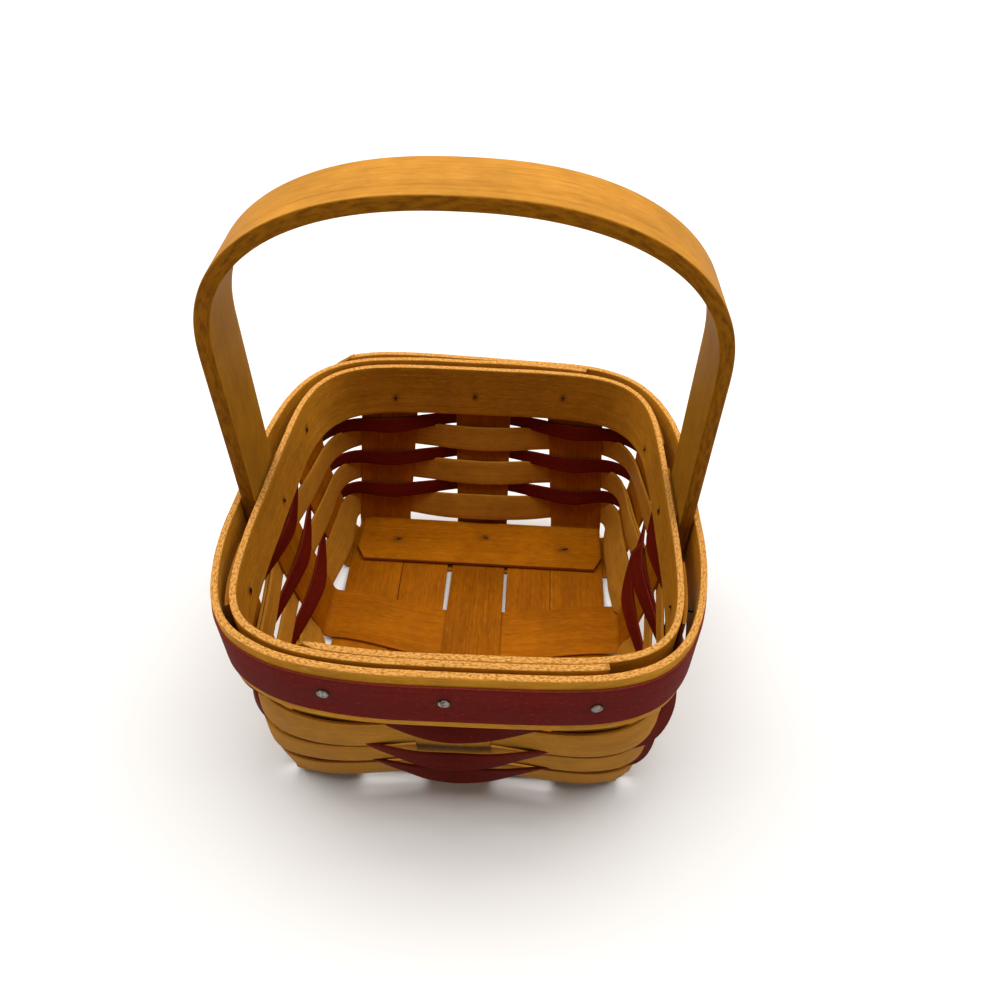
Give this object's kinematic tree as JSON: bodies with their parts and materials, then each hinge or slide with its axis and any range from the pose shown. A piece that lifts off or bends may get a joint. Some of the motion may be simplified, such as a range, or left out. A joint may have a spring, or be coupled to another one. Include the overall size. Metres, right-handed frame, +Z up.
{
  "type": "woven splint basket",
  "caption": "Small rounded-square basket woven from wide wood splints, with stained narrow weavers, lapped rim bands, a stained trim strip and a fixed bentwood handle for carrying.",
  "frame": {"origin": "middle of the underside, on the surface the basket stands on", "axes": "+X to the basket's right seen from the front, along the handle's span, +Y from front to back, +Z up"},
  "size_m": [0.1494, 0.1436, 0.1867],
  "materials": {
    "stake_wood": "oiled honey-brown splint with fine straight grain, satin",
    "cleat_wood": "oiled honey-brown board with fleck figure, satin",
    "weaver_wood": "oiled tan splint, satin",
    "band_wood": "oiled golden band with long grain, lighter speckled edges, satin",
    "handle_wood": "oiled golden bentwood with darker mottled edges, satin",
    "red_stain": "deep red stain, matt, worn lighter at the edges",
    "tack_steel": "dull grey steel with tarnish"
  },
  "bodies": {
    "root": {"stake_left": "stake_wood", "stake_centre": "stake_wood", "stake_right": "stake_wood", "cross_stake_front": "stake_wood", "cross_stake_middle": "stake_wood", "cross_stake_rear": "stake_wood", "floor_filler_left": "stake_wood", "floor_filler_right": "stake_wood", "floor_cleat_front": "cleat_wood", "floor_cleat_rear": "cleat_wood", "weaver_natural_low": "weaver_wood", "weaver_natural_middle": "weaver_wood", "weaver_natural_high": "weaver_wood", "weaver_red_low": "red_stain", "weaver_red_middle": "red_stain", "weaver_red_high": "red_stain", "inner_band": "band_wood", "outer_band": "band_wood", "trim_strip": "red_stain", "handle": "handle_wood", "rim_tack_front_1": "tack_steel", "rim_tack_front_2": "tack_steel", "rim_tack_front_3": "tack_steel", "rim_tack_back_1": "tack_steel", "rim_tack_back_2": "tack_steel", "rim_tack_back_3": "tack_steel", "rim_tack_left_1": "tack_steel", "rim_tack_left_2": "tack_steel", "rim_tack_left_3": "tack_steel", "rim_tack_right_1": "tack_steel", "rim_tack_right_2": "tack_steel", "rim_tack_right_3": "tack_steel", "floor_tack_front_1": "tack_steel", "floor_tack_front_2": "tack_steel", "floor_tack_front_3": "tack_steel", "floor_tack_rear_1": "tack_steel", "floor_tack_rear_2": "tack_steel", "floor_tack_rear_3": "tack_steel"}
  },
  "joints": []
}
